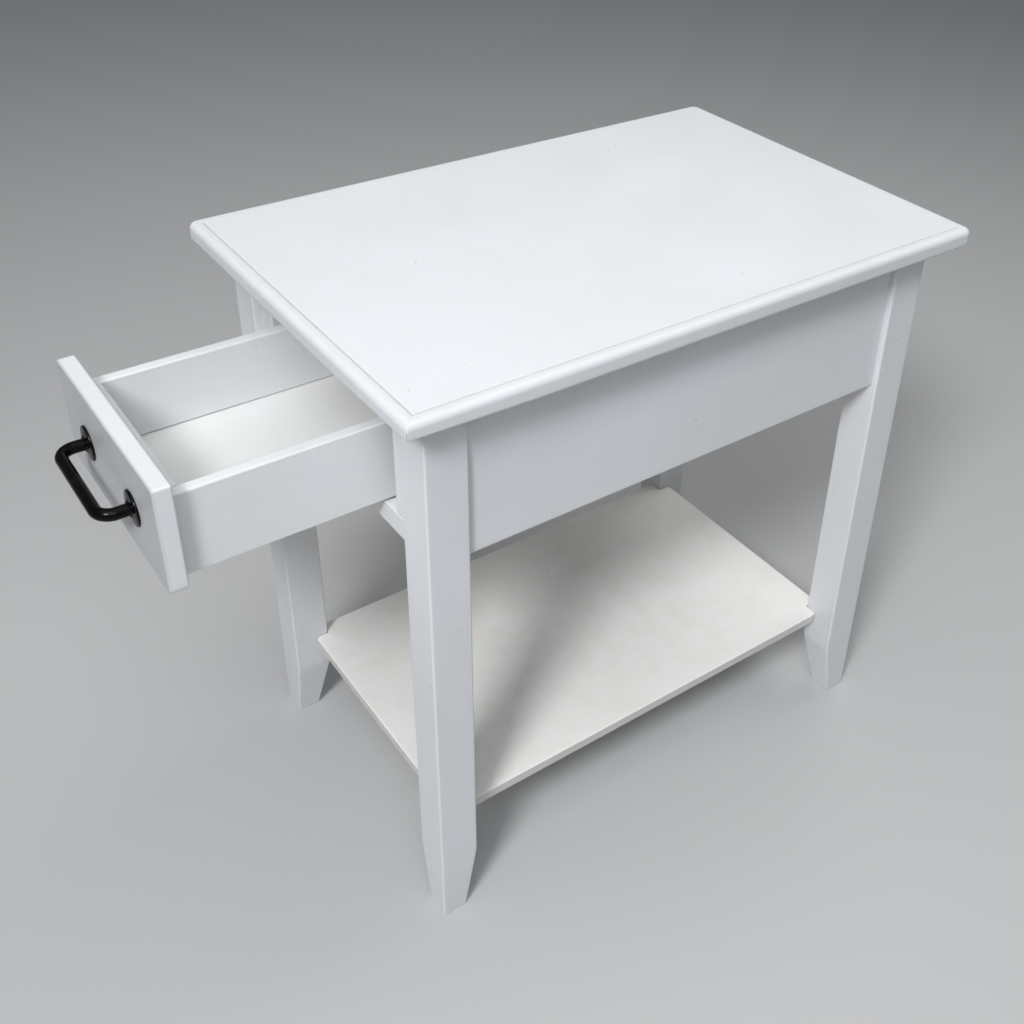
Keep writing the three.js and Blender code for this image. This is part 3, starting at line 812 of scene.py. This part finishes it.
def make_drawer_side(node, inner_is_high, gap_at_front):
    """Side of the box. Over its floor, the groove gapes by gap_at_front at the front end."""
    low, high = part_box(node)
    floor_low, floor_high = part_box("drawer_bottom")
    inner, outer = (high.x, low.x) if inner_is_high else (low.x, high.x)

    def outline_at(t):
        share = (high.y - t) / (high.y - low.y)
        lip = floor_high.z + FLOOR_SLACK + (gap_at_front - FLOOR_SLACK) * share
        return grooved_outline(inner, outer, low.z, high.z, floor_low.z - FLOOR_SLACK, lip)

    made = swept(Y, outline_at, (low.y, high.y), SIDE_END_R, wobble=0.0)
    finish_mesh(node, *made, "drawer", "warm_white_paint", boxed[Y])


def make_inner_front():
    """The box's own front, behind the panel."""
    low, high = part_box("drawer_inner_front")
    floor_low, floor_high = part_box("drawer_bottom")
    groove_low = floor_low.z - FLOOR_SLACK
    outline = grooved_outline(high.y, low.y, low.z, high.z, groove_low, floor_high.z + FLOOR_SLACK)
    made = swept(X, lambda t: outline, (low.x, high.x), INNER_FRONT_END_R, wobble=0.0)
    finish_mesh("drawer_inner_front", *made, "drawer", "warm_white_paint", boxed[X])


make_drawer_side("drawer_side_left", True, FLOOR_GAP)
make_drawer_side("drawer_side_right", False, FLOOR_SLACK)
make_inner_front()


# ---------------------------------------------------------------- pull and screws
def bar_line(left, right, axis_y, foot, height):
    """(point, direction) along the bar's middle, from its left foot to its right foot."""
    points = []
    for k in range(BAR_FOOT_STEPS + 1):
        y = foot - (foot - axis_y - BAR_BEND) * k / BAR_FOOT_STEPS
        points.append((Vector((left, y, height)), Vector((0, -1, 0))))
    for k in range(1, BAR_BEND_STEPS + 1):
        angle = math.pi / 2 * k / BAR_BEND_STEPS
        x = left + BAR_BEND * (1 - math.cos(angle))
        y = axis_y + BAR_BEND * (1 - math.sin(angle))
        points.append((Vector((x, y, height)), Vector((math.sin(angle), -math.cos(angle), 0))))
    mirrored = []
    for point, direction in reversed(points):
        across_middle = Vector((left + right - point.x, point.y, point.z))
        mirrored.append((across_middle, Vector((direction.x, -direction.y, 0))))
    run = right - left - 2 * BAR_BEND
    for k in range(1, BAR_GRIP_STEPS):
        x = left + BAR_BEND + run * k / BAR_GRIP_STEPS
        points.append((Vector((x, axis_y, height)), Vector((1, 0, 0))))
    return points + mirrored


def make_bar():
    """Round bar with two bends, rubbed in the middle."""
    low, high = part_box("pull_bar")
    radius = (high.z - low.z) / 2
    left, right = low.x + radius, high.x - radius
    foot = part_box("drawer_front")[0].y - BAR_FOOT
    up = Vector((0, 0, 1))
    rings = []
    for point, direction in bar_line(left, right, low.y + radius, foot, (high.z + low.z) / 2):
        sideways = Vector((direction.y, -direction.x, 0))
        grip = max(0.0, 1 - abs(point.x - (left + right) / 2) / GRIP_REACH)
        ring = []
        for k in range(BAR_SIDES):
            angle = 2 * math.pi * k / BAR_SIDES
            away = sideways * math.cos(angle) + up * math.sin(angle)
            ring.append((point + away * radius, GRIP_WEAR * grip))
        rings.append(ring)
    finish_mesh("pull_bar", *skin(rings), "drawer", "black_metal", black)
    return radius


def rosette_profile(neck, rim, deep):
    """Closed section of a rosette: (radius, distance off the drawer's face, wear)."""
    return [
        (neck, 0.1 * MM, 0.2),
        (rim - 0.5 * MM, 0.0, 0.6),
        (rim, 0.4 * MM, 1.0),
        (rim, 1.2 * MM, 1.0),
        (rim - 0.3 * MM, 1.8 * MM, 1.0),
        (rim - 1.0 * MM, 2.15 * MM, 0.8),
        (rim - 2.2 * MM, 2.4 * MM, 0.3),
        (rim * 0.7, 2.75 * MM, 0.1),
        (neck + 3.4 * MM, 3.1 * MM, 0.0),
        (neck + 2.2 * MM, 3.4 * MM, 0.0),
        (neck + 1.5 * MM, 3.9 * MM, 0.2),
        (neck + 1.1 * MM, deep - 0.12 * MM, 0.4),
        (neck + 0.6 * MM, deep, 0.3),
        (neck, deep, 0.2),
        (neck, deep * 0.5, 0.0),
    ]


def make_rosette(node, bar_radius):
    """Turned disc with a raised collar round the bar's foot."""
    low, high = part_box(node)
    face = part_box("drawer_front")[0].y
    centre = Vector(((low.x + high.x) / 2, face, (low.z + high.z) / 2))
    profile = rosette_profile(bar_radius + ROSETTE_PLAY, (high.x - low.x) / 2, high.y - low.y)
    rings = []
    for radius, distance, wear in profile:
        ring = []
        for k in range(ROSETTE_SIDES):
            angle = 2 * math.pi * k / ROSETTE_SIDES
            away = Vector((radius * math.cos(angle), -distance, radius * math.sin(angle)))
            ring.append((centre + away, wear))
        rings.append(ring)
    rings.append(rings[0])
    finish_mesh(node, *skin(rings, False), "drawer", "black_metal", black)


bar_r = make_bar()
make_rosette("pull_rosette_left", bar_r)
make_rosette("pull_rosette_right", bar_r)


def cross_recess(r, angle, head, head_t):
    """Depth of the cross recess at a point of a screw's head."""
    x, y = abs(r * math.cos(angle)), abs(r * math.sin(angle))
    if min(x, y) >= RECESS_HALF_WIDTH * head or max(x, y) >= RECESS_REACH * head:
        return 0.0
    return head_t * RECESS_DEPTH * (1 - max(x, y) / (RECESS_RUN * head)) + head_t * RECESS_RIM


def screw_profile(head, head_t, shank, length):
    """(radius, height over the middle of the head's face, whether it is on that face), down to the tip."""
    profile = []
    for k in range(HEAD_RINGS + 1):
        r = head * k / HEAD_RINGS
        profile.append((r, head_t * CROWN * (1 - (r / head) ** 2) - head_t * CROWN, True))
    profile += [
        (head, -head_t * 0.5, False),
        (head * 0.97, -head_t * 0.97, False),
        (head * 0.9, -head_t, False),
        (shank, -head_t, False),
    ]
    for k in range(THREAD_TURNS * 2):
        r = shank * (1.0 if k % 2 else THREAD_ROOT)
        profile.append((r, -head_t - (length - head_t - shank) * (k + 1) / (THREAD_TURNS * 2 + 1), False))
    profile.append((shank * 0.1, -length, False))
    return profile


def make_screw(node, body):
    """Pan-head screw with a cross recess, in a CAD screw's place."""
    low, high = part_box(node)
    size = high - low
    axis = max(range(3), key=lambda i: size[i])
    head = min(size) / 2
    head_t = head * HEAD_T
    points_up = axis == Z
    start = low[axis] if points_up else high[axis]
    outward = -1 if points_up else 1
    middle_u, middle_v = across(axis, (low + high) / 2)
    rings = []
    for r, rise, on_face in screw_profile(head, head_t, head * SHANK, size[axis]):
        ring = []
        for k in range(SCREW_SIDES):
            angle = 2 * math.pi * k / SCREW_SIDES
            sunk = cross_recess(r, angle, head, head_t) if on_face else 0.0
            u = middle_u + r * math.cos(angle)
            v = middle_v + r * math.sin(angle)
            ring.append((on_axis(axis, start + outward * (rise - sunk), u, v), 0.0))
        rings.append(ring)
    finish_mesh(node, *skin(rings), body, "steel", steel)


for screw in sorted(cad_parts):
    if "_screw_" in screw:
        make_screw(screw, "table" if screw.startswith("cleat") else "drawer")


# ---------------------------------------------------------------- floor, light and camera
STUDIO_GREY = (0.53, 0.53, 0.53)      # the floor that the table stands on
STUDIO_CLOUD = (0.99, 0.99, 0.99)     # its slight unevenness
STUDIO_HALF = 14.0                    # half its length and width
SKY = (0.88, 0.94, 1.0, 1.0)
SKY_STRENGTH = 0.124
LIT_HEIGHT = 0.35            # height on the table that the lights point at
LIGHTS = (
    # (name, azimuth, elevation, distance, size, watts, colour)
    ("key", 34, 43, 4.5, 1.0, 125.0, (0.975, 0.986, 1.0)),
    ("front_fill", 30, 55, 2.2, 0.62, 4.0, (0.985, 0.99, 1.0)),
    ("side_fill", 60, 45, 2.2, 0.9, 8.4, (0.88, 0.94, 1.0)),
    ("back_fill", 180, 60, 2.2, 1.2, 12.1, (1.0, 0.99, 0.975)),
    ("overhead", 10, 78, 2.6, 2.4, 15.4, (1.0, 0.99, 0.975)),
)


def stage_material(name, colour):
    """Plain matt grey, slightly uneven."""
    n = Nodes(name)
    cloud = n.noise(n.position, 1.2, detail=2.0, roughness=0.5)
    clouded = n.mix(n.remap(cloud, NOISE_RANGE), tinted(colour, STUDIO_CLOUD), colour)
    n.link(clouded, n.shader.inputs["Base Color"])
    n.shader.inputs["Roughness"].default_value = 0.85
    return n.material


def make_floor():
    """Large flat floor at the table's feet."""
    mesh = bpy.data.meshes.new("floor")
    corners = [(x, y, 0) for x, y in rectangle((-STUDIO_HALF, -STUDIO_HALF), (STUDIO_HALF, STUDIO_HALF))]
    mesh.from_pydata(corners, [], [(0, 1, 2, 3)])
    mesh.materials.append(stage_material("floor", STUDIO_GREY))
    floor = bpy.data.objects.new("floor", mesh)
    bpy.context.scene.collection.objects.link(floor)


def make_world():
    """Faint cool light from all round."""
    world = bpy.data.worlds.new("studio")
    world.use_nodes = True
    background = world.node_tree.nodes["Background"]
    background.inputs["Color"].default_value = SKY
    background.inputs["Strength"].default_value = SKY_STRENGTH
    bpy.context.scene.world = world


def make_light(name, azimuth, elevation, distance, size, watts, colour):
    """Disc light that points at the table. Azimuth 0 is in front of the drawer, and 90 is on the right."""
    top_low, top_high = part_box("top_panel")
    target = Vector(((top_low.x + top_high.x) / 2, (top_low.y + top_high.y) / 2, LIT_HEIGHT))
    a, e = math.radians(azimuth), math.radians(elevation)
    away = Vector((math.sin(a) * math.cos(e), -math.cos(a) * math.cos(e), math.sin(e)))
    data = bpy.data.lights.new(name, "AREA")
    data.shape = "DISK"
    data.size = size
    data.energy = watts
    data.color = colour
    light = bpy.data.objects.new(name, data)
    light.location = target + away * distance
    light.rotation_mode = "QUATERNION"
    light.rotation_quaternion = (-away).to_track_quat("-Z", "Y")
    bpy.context.scene.collection.objects.link(light)


def make_camera():
    """Camera in front of the table and to its right, higher than its top."""
    legs_middle = (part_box("leg_front_right")[0].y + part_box("leg_back_right")[1].y) / 2
    place = Vector((0.8536, legs_middle - 0.6489, 1.0976))
    tilt, roll, heading = math.radians(57.5416), math.radians(-1.8265), math.radians(53.7696)
    data = bpy.data.cameras.new("camera")
    data.sensor_width = 36.0
    data.lens = 43.52
    data.shift_x = -0.070
    data.shift_y = -0.111
    camera = bpy.data.objects.new("camera", data)
    camera.matrix_world = Matrix.Translation(place) @ Euler((tilt, roll, heading)).to_matrix().to_4x4()
    bpy.context.scene.collection.objects.link(camera)
    bpy.context.scene.camera = camera


make_floor()
make_world()
for light_values in LIGHTS:
    make_light(*light_values)
make_camera()
bpy.context.scene.view_settings.view_transform = "Standard"
